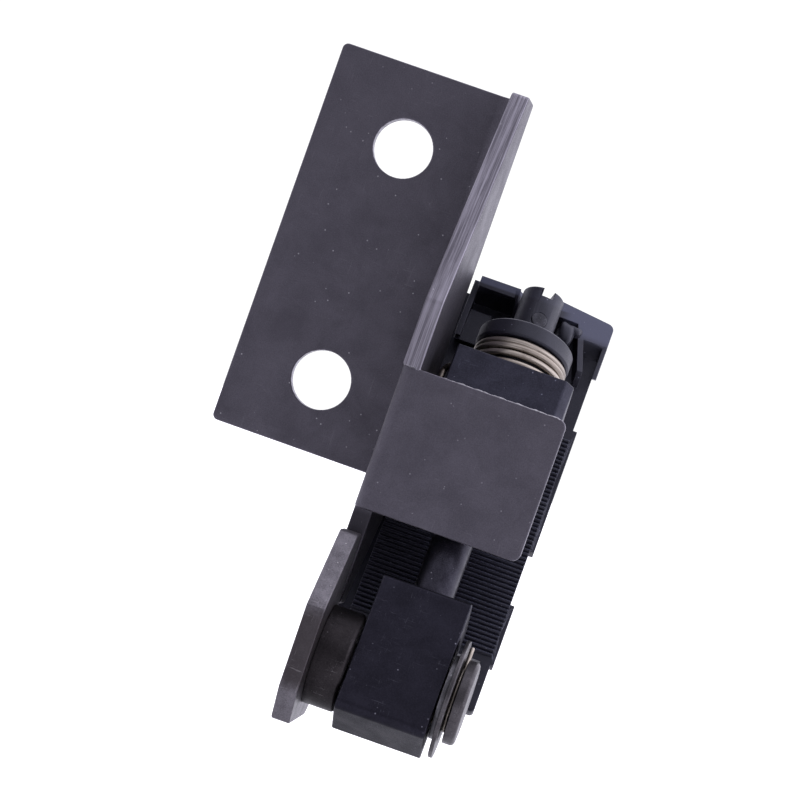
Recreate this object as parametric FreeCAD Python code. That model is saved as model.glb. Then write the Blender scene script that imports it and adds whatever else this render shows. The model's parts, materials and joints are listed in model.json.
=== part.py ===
import FreeCAD, Part
import math
import os
from FreeCAD import Placement, Rotation, Vector

# Spring door closer on a bent mounting bracket.
# Row frame: millimetres, +Z up, origin midway between the two bolt holes on the face of the bracket
# that lies against the wall.  The wall face is Y = 0 and everything else stands on the -Y side of it,
# except the top of the leaning mechanism.
# The mechanism is drawn upright in its own frame (x as in the row, t away from the front, s up along
# the spindle) and then leaned back about the point where the spindle crosses the block.

# ---------------------------------------------------------------- driving dimensions: bracket
sheet = 2.7                  # thickness of the bent steel sheet
bend_inner = 2.6             # inside radius of the bend between plate and flange
tab_bend_inner = 0.3         # sharper bend between flange and tab
tab_bend_outer = 2.0
plate_height = 60.0
plate_edge_to_holes = 13.7   # free side of the plate to the line of the bolt holes
holes_to_flange = 16.8       # line of the bolt holes to the outer face of the flange at its root
hole_spacing = 36.8
hole_diameter = 9.0
plate_corner = 0.9
plate_drop = 29.3            # bolt pattern centre down to the lower edge of the plate
flange_depth = 24.0          # front of the plate to the front of the tab
flange_lean = 3.45           # degrees that the flange is bent past square
flange_top_depth = 10.0      # depth of the flange at its upper end, in front of the plate
flange_taper_end = -2.4      # height where the tapered free edge reaches full depth
flange_top_round = 0.8
flange_knee_round = 2.0      # rounding where the taper meets the full depth
tab_top = -12.3              # height of the upper edge of the tab
tab_height = 21.2
tab_reach = 20.5             # outer face of the flange root to the free side of the tab
tab_corner = 1.3
ear_drop = 14.0              # how far the ear of the flange hangs below the tab
ear_foot = 4.2               # width of the lower end of the ear
ear_slope = 36.0             # degrees that the rear edge of the ear slopes forward
ear_round = 1.0
ear_root_round = 2.0
join = 0.2                   # overlap of flange, ear and tab where they are one sheet

# ---------------------------------------------------------------- driving dimensions: mechanism
lean = 25.0                  # degrees that the mechanism leans back from upright
spindle_across = 27.4        # row X of the spindle
spindle_level = -17.3        # row Z of the point where the spindle crosses the block
rest_turn = -1.5             # degrees that the spindle stands turned at rest, right side to the front

block_width = 17.9
block_depth = 17.0
block_above = 7.8            # block above the crossing point
block_below = 7.6            # block below the crossing point
block_bevel = 1.3
rivet_diameter = 4.0
rivet_apart = 9.0
rivet_grip = 5.0             # how deep the rivets reach into the block
spacer_diameter = 6.0

spindle_diameter = 6.0
spindle_neck = 4.0           # reduced upper end, inside the spool
bush_wall = 1.2
bush_length = 6.0
bush_flange = 0.6
bush_flange_diameter = 10.6
washer_thickness = 0.6
washer_diameter = 11.0
clip_thickness = 0.7
clip_diameter = 10.0
clip_groove = 0.5            # depth of the clip's groove in the spindle
clip_mouth = 0.8             # open side of the clip, as a share of the spindle's diameter

spring_wire = 1.0
spring_diameter = 14.2       # outside diameter of the coils
spring_rise = 3.85           # rise of the wire's centre line over the coils
spring_turns = 3.5           # turns from the front of the block to the spool's notch
spring_arm_turn = 50.0       # degrees short of the front where the arm leaves the coils
spring_leg = 4.8             # leg that hangs beside the block
spring_leg_out = 1.3         # side of the block to the middle of the leg
spring_tang = 1.6            # end that stands up in the spool's notch
spring_elbow = 0.9           # radius of the wire's two elbows, along its middle line

disc_over_spring = 0.3       # how much wider the disc is than the coils
disc_thickness = 2.7
spool_edge = 0.3             # broken edges of the spool
neck_diameter = 6.3
neck_height = 8.3
slot_width = 1.7
slot_depth = 1.4
slot_turn = 13.0             # degrees from the notch line to the slot and cross pin
cross_pin_diameter = 2.4
cross_pin_above_disc = 2.9
socket_top_wall = 2.6        # solid part of the neck above the spindle's end

guard_thickness = 2.0
guard_left = 10.9            # spindle to the left side of the guard
guard_right = 10.7           # spindle to the right side of the guard
guard_below = 29.8           # crossing point down to the lower end of the ribs
strip_left = 12.2            # spindle to the left side of the strip above the flange's bend
strip_left_depth = 0.55      # how far in front of the wall face the strip widens
strip_left_top = 25.0        # crossing point up to the top of the wider part
guard_screw_across = 11.0
guard_screw_down = 4.6       # crossing point down to the guard screws
guard_screw_diameter = 3.0
guard_screw_bite = 3.4
rib_pitch = 0.725
rib_count = 51
rib_height = 0.4
rib_crest_start = 0.25       # shape of one rib, as shares of the pitch
rib_crest_end = 0.60
rib_foot = 0.85
tongue_width = 1.5
tongue_below = 8.6           # tongue beyond the lower end of the ribs
tongue_out = 0.2             # tongue past the right side of the strip
tongue_round = 0.6
edge_bead = 0.65             # width of the raised beads along the right side of the guard
upper_bead_up = 0.3          # ends of the beads, as shares of guard_below
upper_bead_down = 0.4
lower_bead_down = 0.7
bead_over = 0.9              # lower bead beyond the lower end of the ribs
skirt_reach = 2.7            # thin skirt past the left side of the guard
skirt_thickness = 1.05
skirt_down = 13.5            # crossing point down to the top of the skirt

head_top = 25.5              # crossing point up to the top of the guard's head
head_front = 3.0             # front of the head behind the spindle's centre
shelf_thickness = 1.8
shelf_opening = 5.3          # radius of the opening round the neck, left half
shelf_share = 0.4            # right end of the shelf, as a share of the wing's right side
wing_height = 4.4            # depth of the right wing's front face
wing_rise = 0.45             # extra height of the right wing beside the neck
wing_fall = 0.55             # how far its right end lies under the head's top
wing_corner = 1.0
wing_round = 0.3
wing_root = 0.6              # where the wing's deep part starts, as a share of its right side
gusset_foot = 0.8            # the same for the right side of the gusset's foot
wall_thin = 0.9
left_wall_back = 2.0         # front edges of the side walls and cheek, behind the head's front
right_wall_back = 1.0
cheek_back = 3.5
cheek_width = 4.3
cheek_height = 5.5
head_wall_height = 9.7
lip_across = 4.4             # thin lip left of the neck, from the spindle to its left side
lip_slant = 0.8              # how far its lower end stands nearer the neck
lip_height = 4.2
lip_thickness = 0.65

knuckle_left = 7.2           # spindle to the left face of the knuckle
knuckle_right = 6.0          # spindle to the right face of the knuckle
knuckle_depth = 10.0
knuckle_top = 28.3           # crossing point down to the top of the knuckle
knuckle_height = 20.9
knuckle_round = 1.3
spindle_seat = 7.6           # how deep the spindle sits in the knuckle
grub_diameter = 3.0
socket_depth = 1.2           # drive sockets of the small screws
socket_share = 0.5           # width of the sockets, as a share of the screw's diameter
pin_level = 41.0             # crossing point down to the lever pin
pin_diameter = 6.0
pin_bush_wall = 1.0
pin_bush_length = 4.6
pin_head_diameter = 12.2
pin_head_thickness = 1.7
pin_head_round = 0.6
boss_diameter = 14.4
boss_length = 4.8
boss_edge = 0.4              # broken edge of the boss beside the knuckle
side_washer_diameter = 12.2
side_washer_thickness = 0.8
wide_washer_diameter = 17.2
wide_washer_thickness = 0.6
clip_wire = 0.6
clip_ring_radius = 4.4
clip_tail = 8.3              # pin centre to the tip of the clip's tail

lever_thickness = 2.7
lever_front = 11.7           # pin centre to the flat front edge
lever_flat_up = 6.9          # flat front edge above the pin
lever_flat_down = 5.0        # flat front edge below the pin
lever_up = 17.6              # pin centre to the top of the lever
lever_tip_front = 1.0        # upper end, pin centre to its front and rear corners
lever_tip_rear = 4.3
lever_tip_round = 1.2
lever_brow_round = 1.6
lever_waist_back = 4.7       # hollow of the rear edge, behind and above the pin centre
lever_waist_up = 5.2
lever_waist_round = 1.0
lever_back = 12.0            # pin centre to the rear edge, whose upper end is level with the pin
lever_shoulder_round = 3.0
lever_heel_round = 3.2
lever_down = 9.9             # pin centre to the foot of the lever
lever_foot_back = 3.8        # front corner of the foot behind the flat front edge

# ---------------------------------------------------------------- named clearances
running = 0.05               # radial, shaft in bush
side_play = 0.2              # between faces that turn on each other
tab_gap = 0.3845             # lower front edge of the block to the back of the tab
seat_gap = 0.05              # rib crests to the back of the block
coil_gap = 0.1               # coils to the block and to the spool
hub_gap = 1.1                # inside of the coils to the spool's hub
notch_gap = 0.15
neck_gap = 0.4

# ---------------------------------------------------------------- worked out from the above
plate_front = -sheet
tab_front = plate_front - flange_depth
tab_back = tab_front + sheet
tab_bottom = tab_top - tab_height
tab_right = holes_to_flange + tab_reach
plate_left = -plate_edge_to_holes
plate_bottom = -plate_drop
plate_top = plate_bottom + plate_height
lean_sine = math.sin(math.radians(lean))
lean_cosine = math.cos(math.radians(lean))
block_reach = block_below * lean_sine + block_depth / 2 * lean_cosine
crossing = Vector(spindle_across, tab_back + tab_gap + block_reach, spindle_level)

block_left = -block_width / 2
block_front = -block_depth / 2
block_back = block_depth / 2
rib_front = block_back + seat_gap
guard_front = rib_front + rib_height
guard_back = guard_front + guard_thickness

spindle_radius = spindle_diameter / 2
neck_radius = spindle_neck / 2
spring_radius = (spring_diameter - spring_wire) / 2
spring_bottom = block_above + coil_gap + spring_wire / 2
hub_radius = spring_diameter / 2 - spring_wire - hub_gap
disc_radius = (spring_diameter + disc_over_spring) / 2
disc_bottom = spring_bottom + spring_rise + spring_wire / 2 + coil_gap
disc_top = disc_bottom + disc_thickness
neck_top = disc_top + neck_height
socket_top = neck_top - socket_top_wall
hub_bottom = block_above + bush_flange + side_play
cross_pin_level = disc_top + cross_pin_above_disc

rib_top = rib_count * rib_pitch - guard_below
wing_right = guard_right + edge_bead
shelf_bottom = head_top - shelf_thickness
head_wall_bottom = head_top - head_wall_height
wing_bottom = head_top - wing_height
wing_left = math.sqrt((neck_diameter / 2 + neck_gap) ** 2 - head_front ** 2)

knuckle_bottom = -knuckle_top - knuckle_height
pin_radius = pin_diameter / 2
pin_bore = pin_radius + pin_bush_wall
boss_right = -knuckle_left - side_play
boss_left = boss_right - boss_length
lever_left = boss_left - lever_thickness
washer_left = knuckle_right + side_play
wide_left = washer_left + side_washer_thickness
clip_left = wide_left + wide_washer_thickness
head_left = clip_left + clip_wire
pin_right = head_left + pin_head_thickness
past = 1.0                   # how far a cutting tool runs past the face it opens
beyond = 150.0               # further than any face of the closer


# ---------------------------------------------------------------- small shape helpers
def box(x0, x1, y0, y1, z0, z1):
    return Part.makeBox(x1 - x0, y1 - y0, z1 - z0, Vector(x0, y0, z0))


def rod_x(radius, x0, x1, y, z):
    return Part.makeCylinder(radius, x1 - x0, Vector(x0, y, z), Vector(1, 0, 0))


def rod_y(radius, y0, y1, x, z):
    return Part.makeCylinder(radius, y1 - y0, Vector(x, y0, z), Vector(0, 1, 0))


def rod_z(radius, z0, z1, x=0.0, y=0.0):
    return Part.makeCylinder(radius, z1 - z0, Vector(x, y, z0), Vector(0, 0, 1))


def rounded_outline(corners):
    """Closed wire through the corners; each corner is (point, radius), radius 0 leaves it sharp."""
    starts = []
    ends = []
    middles = []
    count = len(corners)
    for i, (point, radius) in enumerate(corners):
        before = (corners[i - 1][0] - point).normalize()
        after = (corners[(i + 1) % count][0] - point).normalize()
        half = before.getAngle(after) / 2
        reach = radius / math.tan(half)
        inward = (before + after).normalize()
        starts.append(point + before * reach)
        ends.append(point + after * reach)
        middles.append(point + inward * (radius / math.sin(half) - radius))
    edges = []
    for i in range(count):
        if corners[i][1] > 0:
            edges.append(Part.Arc(starts[i], middles[i], ends[i]).toShape())
        edges.append(Part.LineSegment(ends[i], starts[(i + 1) % count]).toShape())
    return Part.Wire(edges)


def slab_x(corners, x0, x1):
    """Plate across X from x0 to x1; the corners are (y, z, radius)."""
    wire = rounded_outline([(Vector(x0, y, z), radius) for y, z, radius in corners])
    return Part.Face(wire).extrude(Vector(x1 - x0, 0, 0))


def slab_y(corners, y0, y1):
    """Plate across Y from y0 to y1; the corners are (x, z, radius)."""
    wire = rounded_outline([(Vector(x, y0, z), radius) for x, z, radius in corners])
    return Part.Face(wire).extrude(Vector(0, y1 - y0, 0))


def slab_z(corners, z0, z1):
    """Prism up Z from z0 to z1; the corners are (x, y, radius)."""
    wire = rounded_outline([(Vector(x, y, z0), radius) for x, y, radius in corners])
    return Part.Face(wire).extrude(Vector(0, 0, z1 - z0))


def chamfer_at(shape, distance, test):
    """Chamfer the edges whose middle point passes the test."""
    chosen = [edge for edge in shape.Edges if test(edge.valueAt(middle_of(edge)))]
    return shape.makeChamfer(distance, chosen)


def fillet_at(shape, radius, test):
    """Round the edges whose middle point passes the test."""
    chosen = [edge for edge in shape.Edges if test(edge.valueAt(middle_of(edge)))]
    return shape.makeFillet(radius, chosen)


def middle_of(edge):
    return (edge.FirstParameter + edge.LastParameter) / 2


def near(value, target):
    return abs(value - target) < 1e-4


# ---------------------------------------------------------------- where the mechanism stands
lean_back = Placement(crossing, Rotation(Vector(1, 0, 0), -lean))
turned = Placement(Vector(0, 0, 0), Rotation(Vector(0, 0, 1), rest_turn))


def leaned(shape):
    """From the mechanism's own frame to the row frame."""
    shape = shape.copy()
    shape.Placement = lean_back.multiply(shape.Placement)
    return shape


def leaned_and_turned(shape):
    """The same for what turns with the spindle."""
    shape = shape.copy()
    shape.Placement = lean_back.multiply(turned).multiply(shape.Placement)
    return shape


# ---------------------------------------------------------------- bracket
def flange_face(depth, offset):
    """Row X of the flange at a depth in front of the wall face, offset from its outer face."""
    return holes_to_flange + (depth * math.tan(math.radians(flange_lean)) + offset)


def left_of_flange(offset):
    """Everything on the left of the flange's outer face, moved by offset along X."""
    corners = [
        (-beyond, beyond, 0),
        (flange_face(beyond, offset), beyond, 0),
        (flange_face(-beyond, offset), -beyond, 0),
        (-beyond, -beyond, 0),
    ]
    return slab_z(corners, -beyond, beyond)


def plate_and_flange():
    outer = holes_to_flange
    inner_root = flange_face(plate_front, -sheet)
    profile = [
        (plate_left, 0, 0),
        (outer, 0, bend_inner + sheet),
        (flange_face(tab_front, 0), tab_front, 0),
        (flange_face(tab_front, -sheet), tab_front, 0),
        (inner_root, plate_front, bend_inner),
        (plate_left, plate_front, 0),
    ]
    bent = slab_z(profile, tab_bottom - ear_drop - past, plate_top + past)
    plate_outline = [
        (plate_left, plate_bottom, plate_corner),
        (outer + past, plate_bottom, 0),
        (outer + past, plate_top, 0),
        (plate_left, plate_top, plate_corner),
    ]
    plate_zone = slab_y(plate_outline, plate_front - past, past)
    ear_bottom = tab_bottom - ear_drop
    ear_front = tab_back - join
    ear_back_top = ear_front + ear_foot + ear_drop * math.tan(math.radians(ear_slope))
    tab_root = tab_back + tab_bend_inner
    flange_outline = [
        (past, plate_top, 0),
        (plate_front - flange_top_depth, plate_top, flange_top_round),
        (tab_front, flange_taper_end, flange_knee_round),
        (tab_front, tab_top, 0),
        (tab_root, tab_top, 0),
        (tab_root, tab_bottom, 0),
        (ear_front, tab_bottom, 0),
        (ear_front, ear_bottom, ear_round),
        (ear_front + ear_foot, ear_bottom, ear_round),
        (ear_back_top, tab_bottom, ear_root_round),
        (past, plate_bottom, 0),
    ]
    reach_left = flange_face(tab_front, -sheet) - bend_inner - past
    flange_zone = slab_x(flange_outline, reach_left, outer + past)
    left_zone = plate_zone.cut(box(inner_root - bend_inner, beyond, -beyond, beyond, -beyond, beyond))
    below_plate = box(plate_left, beyond, tab_front, past, -beyond, plate_bottom)
    bend_below = left_of_flange(-sheet).common(below_plate)
    return bent.common(left_zone.fuse(flange_zone)).cut(bend_below)


def tab_and_bend():
    root = tab_back + tab_bend_inner + join
    profile = [
        (flange_face(root, 0), root, 0),
        (flange_face(tab_back, 0), tab_back, tab_bend_inner),
        (tab_right, tab_back, 0),
        (tab_right, tab_front, 0),
        (flange_face(tab_front, -sheet), tab_front, tab_bend_outer),
        (flange_face(root, -sheet), root, 0),
    ]
    bent = slab_z(profile, tab_bottom, tab_top)
    outline = [
        (plate_left, tab_bottom, 0),
        (tab_right, tab_bottom, tab_corner),
        (tab_right, tab_top, tab_corner),
        (plate_left, tab_top, 0),
    ]
    return bent.common(slab_y(outline, tab_front - past, root + past))


def rivet_places():
    """Row (y, z) of the two rivets that hold the block to the flange."""
    places = []
    for side in (-1, 1):
        point = lean_back.multVec(Vector(0, side * rivet_apart / 2, 0))
        places.append((point.y, point.z))
    return places


def make_bracket():
    bracket = plate_and_flange().fuse(tab_and_bend())
    for side in (-1, 1):
        level = side * hole_spacing / 2
        bracket = bracket.cut(rod_y(hole_diameter / 2, plate_front - past, past, 0, level))
    for y, z in rivet_places():
        bracket = bracket.cut(rod_x(rivet_diameter / 2, plate_left, spindle_across, y, z))
    return bracket.removeSplitter()


# ---------------------------------------------------------------- block and its fixings
def make_block():
    block = box(block_left, -block_left, block_front, block_back, -block_below, block_above)
    block = chamfer_at(block, block_bevel,
                       lambda p: near(p.x, -block_left) and near(p.y, block_front))
    block = block.cut(rod_z(spindle_radius + bush_wall, block_above - bush_length, block_above + past))
    block = block.cut(rod_z(spindle_radius + bush_wall, -block_below - past, bush_length - block_below))
    block = block.cut(rod_z(spindle_radius + side_play, -block_below, block_above))
    for side in (-1, 1):
        across = side * guard_screw_across / 2
        bite = block_back - guard_screw_bite
        hole = rod_y(guard_screw_diameter / 2, bite, block_back + past, across, -guard_screw_down)
        block = block.cut(hole)
        along = side * rivet_apart / 2
        block = block.cut(rod_x(rivet_diameter / 2, block_left - past, block_left + rivet_grip, along, 0))
    return leaned(block)


def make_rivets():
    rivets = []
    right = spindle_across + block_left + rivet_grip
    for y, z in rivet_places():
        rivet = rod_x(rivet_diameter / 2, plate_left, right, y, z)
        rivets.append(rivet.cut(left_of_flange(-sheet)))
    return Part.makeCompound(rivets)


def make_spacers():
    spacers = []
    for y, z in rivet_places():
        spacer = rod_x(spacer_diameter / 2, 0, spindle_across + block_left, y, z)
        spacer = spacer.cut(rod_x(rivet_diameter / 2, 0, spindle_across, y, z))
        spacers.append(spacer.cut(left_of_flange(0)))
    return Part.makeCompound(spacers)


def make_bush(level, up):
    """Flanged sleeve in the block; its flange lies on the face at the level and looks up or down."""
    inner = spindle_radius + running
    outer = spindle_radius + bush_wall
    low = min(level, level - up * bush_length)
    sleeve = rod_z(outer, low, low + bush_length)
    flange_low = min(level, level + up * bush_flange)
    flange = rod_z(bush_flange_diameter / 2, flange_low, flange_low + bush_flange)
    bore = rod_z(inner, -beyond, beyond)
    return leaned(sleeve.fuse(flange).cut(bore).removeSplitter())


# ---------------------------------------------------------------- ribbed guard
def guard_strip():
    """Back strip, cut from the side: a flat upper stretch, then a comb of small ribs."""
    points = [Vector(0, guard_back, -guard_below), Vector(0, guard_back, head_top)]
    points += [Vector(0, guard_front, head_top), Vector(0, guard_front, rib_top)]
    for i in range(rib_count):
        top = rib_top - i * rib_pitch
        points.append(Vector(0, rib_front, top - rib_crest_start * rib_pitch))
        points.append(Vector(0, rib_front, top - rib_crest_end * rib_pitch))
        points.append(Vector(0, guard_front, top - rib_foot * rib_pitch))
        points.append(Vector(0, guard_front, top - rib_pitch))
    face = Part.Face(Part.makePolygon(points + points[:1]))
    face.translate(Vector(-guard_left, 0, 0))
    strip = face.extrude(Vector(guard_left + guard_right, 0, 0))
    widens = (-strip_left_depth - crossing.y - guard_front * lean_cosine) / lean_sine
    wide = box(-strip_left, -guard_left + past, guard_front, guard_back, widens, strip_left_top)
    return strip.fuse(wide)


def guard_tongue():
    right = guard_right + tongue_out
    left = right - tongue_width
    outline = [
        (left, -guard_below + past, 0),
        (left, -guard_below - tongue_below, tongue_round),
        (right, -guard_below - tongue_below, tongue_round),
        (right, -guard_below + past, 0),
    ]
    return slab_y(outline, guard_front, guard_back)


def guard_beads():
    """Two raised beads along the right side."""
    spans = [
        (-upper_bead_down * guard_below, upper_bead_up * guard_below),
        (-guard_below - bead_over, -lower_bead_down * guard_below),
    ]
    return [box(guard_right, wing_right, guard_front, guard_back, low, high) for low, high in spans]


def guard_skirt():
    """Thin sheet beside the lower left side, behind the flange's ear."""
    return box(-guard_left - skirt_reach, -guard_left + past, guard_back - skirt_thickness, guard_back,
               -guard_below, -skirt_down)


def head_wall(left, thickness, set_back, top):
    """Side wall of the head, its front edge set back and its lower edge level in the row."""
    front = head_front + set_back
    rise = (guard_back - front) * lean_sine / lean_cosine
    outline = [
        (front, head_wall_bottom, 0),
        (guard_back, head_wall_bottom + rise, 0),
        (guard_back, top, 0),
        (front, top, 0),
    ]
    return slab_x(outline, left, left + thickness)


def guard_head():
    """Shelf with an opening round the neck, a deep wing on the right, thin walls, lip and gusset."""
    shelf_right = shelf_share * wing_right
    shelf = box(-guard_left + wall_thin, shelf_right, head_front, guard_back, shelf_bottom, head_top)
    shelf = shelf.cut(rod_z(shelf_opening, shelf_bottom - past, head_top + past))
    deep_left = wing_root * wing_right
    wing_outline = [
        (wing_left, shelf_bottom - wing_rise, 0),
        (wing_left, head_top + wing_rise, 0),
        (wing_right, head_top - wing_fall, wing_corner),
        (wing_right, wing_bottom, wing_round),
        (deep_left, wing_bottom, 0),
        (deep_left, shelf_bottom - wing_rise, 0),
    ]
    wing = slab_y(wing_outline, head_front, guard_back)
    left_wall = head_wall(-guard_left, wall_thin, left_wall_back, head_top)
    right_wall = head_wall(guard_right, edge_bead, right_wall_back, wing_bottom + past)
    cheek = head_wall(-guard_left, cheek_width, cheek_back, head_wall_bottom + cheek_height)
    lip_outline = [
        (-lip_across, head_top, 0),
        (-lip_across + lip_slant, head_top - lip_height, 0),
        (-lip_across + lip_slant + lip_thickness, head_top - lip_height, 0),
        (-lip_across + lip_thickness, head_top, 0),
    ]
    lip = slab_y(lip_outline, head_front, guard_front + past)
    foot_right = gusset_foot * wing_right
    gusset_outline = [
        (deep_left, shelf_bottom, 0),
        (deep_left - wall_thin, shelf_bottom, 0),
        (foot_right - wall_thin, head_wall_bottom, 0),
        (foot_right, head_wall_bottom, 0),
    ]
    gusset = slab_y(gusset_outline, head_front, guard_front + past)
    return [shelf, wing, left_wall, right_wall, cheek, lip, gusset]


def screw_shape():
    """Countersunk screw flush with the guard's back face, on the middle line."""
    radius = guard_screw_diameter / 2
    shank = rod_y(radius, block_back - guard_screw_bite, guard_back, 0, 0)
    cone = Part.makeCone(radius, 2 * radius, radius, Vector(0, guard_back - radius, 0), Vector(0, 1, 0))
    return shank.fuse(cone)


def make_guard():
    guard = guard_strip().fuse(guard_head() + guard_beads() + [guard_tongue(), guard_skirt()])
    for side in (-1, 1):
        hole = screw_shape()
        hole.translate(Vector(side * guard_screw_across / 2, 0, -guard_screw_down))
        guard = guard.cut(hole)
    guard = guard.cut(rod_z(disc_radius + neck_gap, disc_bottom - neck_gap, disc_top + neck_gap))
    guard = guard.cut(rod_z(neck_diameter / 2 + neck_gap, disc_bottom, neck_top + past))
    return leaned(guard.removeSplitter())


def make_guard_screws():
    screws = []
    for side in (-1, 1):
        screw = screw_shape()
        drive_radius = socket_share * guard_screw_diameter / 2
        drive = rod_y(drive_radius, guard_back - socket_depth, guard_back + past, 0, 0)
        screw = screw.cut(drive)
        screw.translate(Vector(side * guard_screw_across / 2, 0, -guard_screw_down))
        screws.append(leaned(screw))
    return Part.makeCompound(screws)


# ---------------------------------------------------------------- spindle and spool
def make_spindle():
    bottom = -knuckle_top - spindle_seat
    spindle = rod_z(spindle_radius, bottom, hub_bottom)
    spindle = spindle.fuse(rod_z(neck_radius, hub_bottom, socket_top))
    spindle = spindle.cut(clip_ring(spindle_radius + past, spindle_radius - clip_groove))
    spindle = spindle.cut(cross_pin_rod(neck_diameter))
    return leaned_and_turned(spindle.removeSplitter())


def make_spool():
    spool = rod_z(hub_radius, hub_bottom, disc_bottom)
    disc = rod_z(disc_radius, disc_bottom, disc_top)
    disc = chamfer_at(disc, spool_edge, lambda p: True)
    neck = rod_z(neck_diameter / 2, disc_top, neck_top)
    neck = fillet_at(neck, spool_edge, lambda p: near(p.z, neck_top))
    spool = spool.fuse([disc, neck])
    spool = spool.cut(rod_z(neck_radius, hub_bottom - past, socket_top))
    slot = box(-slot_width / 2, slot_width / 2, -neck_diameter, neck_diameter,
               neck_top - slot_depth, neck_top + past)
    slot.rotate(Vector(0, 0, 0), Vector(0, 0, 1), slot_turn)
    spool = spool.cut([slot, cross_pin_rod(neck_diameter)])
    notch = box(-spring_wire / 2 - notch_gap, spring_wire / 2 + notch_gap,
                spring_radius - spring_wire / 2 - notch_gap, disc_radius + past, disc_bottom - past,
                disc_top + past)
    spool = spool.cut(notch)
    return leaned_and_turned(spool.removeSplitter())


def cross_pin_rod(reach):
    """Rod through the neck in line with its slot, reaching as far on both sides of the spindle."""
    rod = rod_y(cross_pin_diameter / 2, -reach, reach, 0, cross_pin_level)
    rod.rotate(Vector(0, 0, 0), Vector(0, 0, 1), slot_turn)
    return rod


def make_cross_pin():
    return leaned_and_turned(cross_pin_rod(neck_diameter / 2))


def clip_ring(outer, inner):
    """Flat ring under the lower washer, where the spindle's clip sits."""
    top = -block_below - bush_flange - side_play - washer_thickness
    ring = rod_z(outer, top - clip_thickness, top)
    return ring.cut(rod_z(inner, -beyond, beyond))


def make_spindle_washer():
    top = -block_below - bush_flange - side_play
    washer = rod_z(washer_diameter / 2, top - washer_thickness, top)
    return leaned_and_turned(washer.cut(rod_z(spindle_radius + running, -beyond, beyond)))


def make_spindle_clip():
    clip = clip_ring(clip_diameter / 2, spindle_radius - clip_groove)
    mouth = clip_mouth * spindle_radius
    gap = box(-mouth, mouth, 0, beyond, -beyond, 0)
    return leaned_and_turned(clip.cut(gap))


# ---------------------------------------------------------------- torsion spring
def elbow(before, corner, after):
    """Arc of the wire's middle line about a square corner; before and after are its directions there."""
    start = corner - before * spring_elbow
    end = corner + after * spring_elbow
    centre = start + after * spring_elbow
    middle = centre + (before - after).normalize() * spring_elbow
    return start, Part.Arc(start, middle, end).toShape(), end


def level(direction):
    """Unit vector of the direction without its rise."""
    return Vector(direction.x, direction.y, 0).normalize()


def make_spring():
    """Open coils on the block, one leg down its left side and one end up into the spool's notch."""
    up = Vector(0, 0, 1)
    elbow_turn = math.degrees(math.asin(spring_elbow / spring_radius)) / 360
    arm_turn = spring_arm_turn / 360
    turns = spring_turns + arm_turn - elbow_turn
    pitch = spring_rise / (spring_turns + arm_turn)
    helix = Part.makeHelix(pitch, pitch * turns, spring_radius)
    helix.rotate(Vector(0, 0, 0), up, rest_turn - 90 - spring_arm_turn)
    helix.translate(Vector(0, 0, spring_bottom))
    first = helix.Edges[0]
    last = helix.Edges[-1]
    coil_start = first.valueAt(first.FirstParameter)
    coil_end = last.valueAt(last.LastParameter)
    arriving = level(first.tangentAt(first.FirstParameter))
    leaving = level(last.tangentAt(last.LastParameter))
    arm_length = (coil_start.x - block_left + spring_leg_out) / arriving.x
    arm_corner = coil_start - arriving * arm_length
    leg_end = arm_corner - up * spring_leg
    leg_top, arm_elbow, arm_start = elbow(up, arm_corner, arriving)
    tang_corner = coil_end + leaving * spring_elbow
    tang_elbow, tang_bottom = elbow(leaving, tang_corner, up)[1:]
    path = [Part.LineSegment(leg_end, leg_top).toShape(), arm_elbow]
    path += [Part.LineSegment(arm_start, coil_start).toShape()] + helix.Edges + [tang_elbow]
    path += [Part.LineSegment(tang_bottom, tang_corner + up * spring_tang).toShape()]
    section = Part.Wire(Part.makeCircle(spring_wire / 2, leg_end, up))
    return leaned(Part.Wire(path).makePipeShell([section], True, False))


# ---------------------------------------------------------------- knuckle
def make_knuckle():
    front = -knuckle_depth / 2
    outline = [
        (front, knuckle_bottom, knuckle_round),
        (-front, knuckle_bottom, knuckle_round / 2),
        (-front, -knuckle_top, knuckle_round / 2),
        (front, -knuckle_top, knuckle_round / 2),
    ]
    knuckle = slab_x(outline, -knuckle_left, knuckle_right)
    knuckle = knuckle.cut(rod_z(spindle_radius, -knuckle_top - spindle_seat, -knuckle_top + past))
    knuckle = knuckle.cut(rod_x(pin_bore, -knuckle_left - past, knuckle_right + past, 0, -pin_level))
    knuckle = knuckle.cut(grub_rod(past))
    return leaned_and_turned(knuckle)


def grub_rod(extra):
    """Set screw in the back of the knuckle, tight against the spindle."""
    level = -knuckle_top - spindle_seat / 2
    rod = rod_y(grub_diameter / 2, 0, knuckle_depth / 2 + extra, 0, level)
    return rod.cut(rod_z(spindle_radius, -knuckle_top - spindle_seat, -knuckle_top))


def make_grub_screw():
    screw = grub_rod(0)
    level = -knuckle_top - spindle_seat / 2
    back = knuckle_depth / 2
    socket = rod_y(socket_share * grub_diameter / 2, back - socket_depth, back + past, 0, level)
    return leaned_and_turned(screw.cut(socket))


def make_pin_bushes():
    bushes = []
    for left in (-knuckle_left, knuckle_right - pin_bush_length):
        bush = rod_x(pin_bore, left, left + pin_bush_length, 0, -pin_level)
        bore = rod_x(pin_radius + running, left - past, left + pin_bush_length + past, 0, -pin_level)
        bushes.append(leaned_and_turned(bush.cut(bore)))
    return Part.makeCompound(bushes)


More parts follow.
